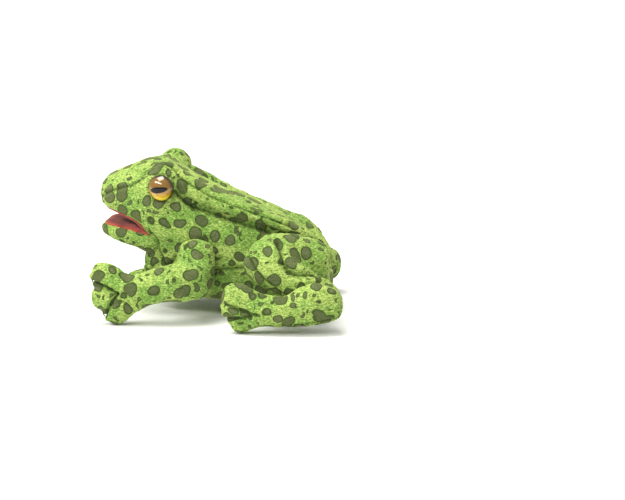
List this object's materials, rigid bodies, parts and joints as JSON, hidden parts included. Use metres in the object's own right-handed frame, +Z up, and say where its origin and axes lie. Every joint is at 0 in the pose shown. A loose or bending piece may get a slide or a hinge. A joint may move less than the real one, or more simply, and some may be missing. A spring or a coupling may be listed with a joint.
{
  "type": "hand puppet",
  "caption": "Small plush frog finger puppet: stuffed body with a finger sleeve in its belly, an open mouth, folding legs and glossy domed eyes.",
  "frame": {"origin": "middle of the footprint, on the surface that the belly, hands and feet rest on", "axes": "+Z up, -Y the way the frog faces, +X the frog's left"},
  "size_m": [0.1066, 0.1288, 0.0754],
  "materials": {
    "frog_plush": "short-pile green plush printed with dark olive spots",
    "mouth_lining": "dull red felted lining",
    "sleeve_lining": "thin dark green woven lining",
    "stuffing": "loose white fibre filling",
    "thread": "waxed sewing thread",
    "eye_clear": "polished clear plastic dome",
    "eye_amber": "glossy amber disc",
    "eye_black": "glossy black pupil",
    "eye_fitting": "moulded black plastic"
  },
  "bodies": {
    "torso": {"side_panel_left": "frog_plush", "side_panel_right": "frog_plush", "back_panel": "frog_plush", "belly_panel": "frog_plush", "dorsal_ridge_left": "frog_plush", "dorsal_ridge_right": "frog_plush", "ridge_filling_left": "stuffing", "ridge_filling_right": "stuffing", "torso_stuffing": "stuffing", "finger_sleeve": "sleeve_lining", "sleeve_hem": "sleeve_lining", "shoulder_tack_left": "thread", "shoulder_tack_right": "thread", "hip_tack_left": "thread", "hip_tack_right": "thread"},
    "head": {"crown_panel": "frog_plush", "cheek_panel_left": "frog_plush", "cheek_panel_right": "frog_plush", "upper_mouth_lining": "mouth_lining", "head_stuffing": "stuffing", "eye_mound_left": "frog_plush", "eye_dome_left": "eye_clear", "eye_iris_left": "eye_amber", "eye_pupil_left": "eye_black", "eye_stem_left": "eye_fitting", "eye_washer_left": "eye_fitting", "eye_mound_right": "frog_plush", "eye_dome_right": "eye_clear", "eye_iris_right": "eye_amber", "eye_pupil_right": "eye_black", "eye_stem_right": "eye_fitting", "eye_washer_right": "eye_fitting"},
    "jaw": {"lower_mouth_lining": "mouth_lining", "chin_panel": "frog_plush", "jaw_stuffing": "stuffing"},
    "upper_arm_left": {"upper_arm_cover_left": "frog_plush", "upper_arm_filling_left": "stuffing"},
    "forearm_left": {"forearm_outer_left": "frog_plush", "forearm_inner_left": "frog_plush", "forearm_filling_left": "stuffing"},
    "thigh_left": {"thigh_cover_left": "frog_plush", "thigh_filling_left": "stuffing"},
    "shank_left": {"shank_cover_left": "frog_plush", "shank_filling_left": "stuffing"},
    "foot_left": {"foot_outer_left": "frog_plush", "foot_inner_left": "frog_plush", "foot_filling_left": "stuffing"},
    "upper_arm_right": {"upper_arm_cover_right": "frog_plush", "upper_arm_filling_right": "stuffing"},
    "forearm_right": {"forearm_outer_right": "frog_plush", "forearm_inner_right": "frog_plush", "forearm_filling_right": "stuffing"},
    "thigh_right": {"thigh_cover_right": "frog_plush", "thigh_filling_right": "stuffing"},
    "shank_right": {"shank_cover_right": "frog_plush", "shank_filling_right": "stuffing"},
    "foot_right": {"foot_outer_right": "frog_plush", "foot_inner_right": "frog_plush", "foot_filling_right": "stuffing"}
  },
  "joints": [
    {"name": "neck_nod", "type": "hinge", "parent": "torso", "child": "head", "pos_m": [0, -0.026, 0.048], "axis": [1, 0, 0], "range_deg": [-15, 10], "stiffness_Nm_per_rad": 0.2},
    {"name": "jaw_open", "type": "hinge", "parent": "head", "child": "jaw", "pos_m": [0, -0.036, 0.0406], "axis": [1, 0, 0], "range_deg": [-25, 10], "stiffness_Nm_per_rad": 0.05},
    {"name": "shoulder_left", "type": "hinge", "parent": "torso", "child": "upper_arm_left", "pos_m": [0.02755, -0.012, 0.0295], "axis": [1, 0, 0], "range_deg": [-35, 30], "stiffness_Nm_per_rad": 0.02},
    {"name": "elbow_left", "type": "hinge", "parent": "upper_arm_left", "child": "forearm_left", "pos_m": [0.033, -0.0115, 0.0215], "axis": [1, 0, 0], "range_deg": [-30, 25], "stiffness_Nm_per_rad": 0.02},
    {"name": "hip_left", "type": "hinge", "parent": "torso", "child": "thigh_left", "pos_m": [0.02755, 0.036, 0.027], "axis": [1, 0, 0], "range_deg": [-25, 25], "stiffness_Nm_per_rad": 0.02},
    {"name": "knee_left", "type": "hinge", "parent": "thigh_left", "child": "shank_left", "pos_m": [0.033, 0.022, 0.0348], "axis": [1, 0, 0], "range_deg": [-30, 10], "stiffness_Nm_per_rad": 0.02},
    {"name": "ankle_left", "type": "hinge", "parent": "shank_left", "child": "foot_left", "pos_m": [0.0425, 0.0553, 0.013], "axis": [1, 0, 0], "range_deg": [-20, 25], "stiffness_Nm_per_rad": 0.02},
    {"name": "shoulder_right", "type": "hinge", "parent": "torso", "child": "upper_arm_right", "pos_m": [-0.02755, -0.012, 0.0285], "axis": [1, 0, 0], "range_deg": [-35, 30], "stiffness_Nm_per_rad": 0.02},
    {"name": "elbow_right", "type": "hinge", "parent": "upper_arm_right", "child": "forearm_right", "pos_m": [-0.033, -0.011, 0.0175], "axis": [1, 0, 0], "range_deg": [-30, 25], "stiffness_Nm_per_rad": 0.02},
    {"name": "hip_right", "type": "hinge", "parent": "torso", "child": "thigh_right", "pos_m": [-0.02755, 0.032, 0.027], "axis": [1, 0, 0], "range_deg": [-25, 25], "stiffness_Nm_per_rad": 0.02},
    {"name": "knee_right", "type": "hinge", "parent": "thigh_right", "child": "shank_right", "pos_m": [-0.033, 0.0165, 0.0365], "axis": [1, 0, 0], "range_deg": [-30, 10], "stiffness_Nm_per_rad": 0.02},
    {"name": "ankle_right", "type": "hinge", "parent": "shank_right", "child": "foot_right", "pos_m": [-0.0425, 0.043, 0.0125], "axis": [1, 0, 0], "range_deg": [-20, 25], "stiffness_Nm_per_rad": 0.02}
  ]
}
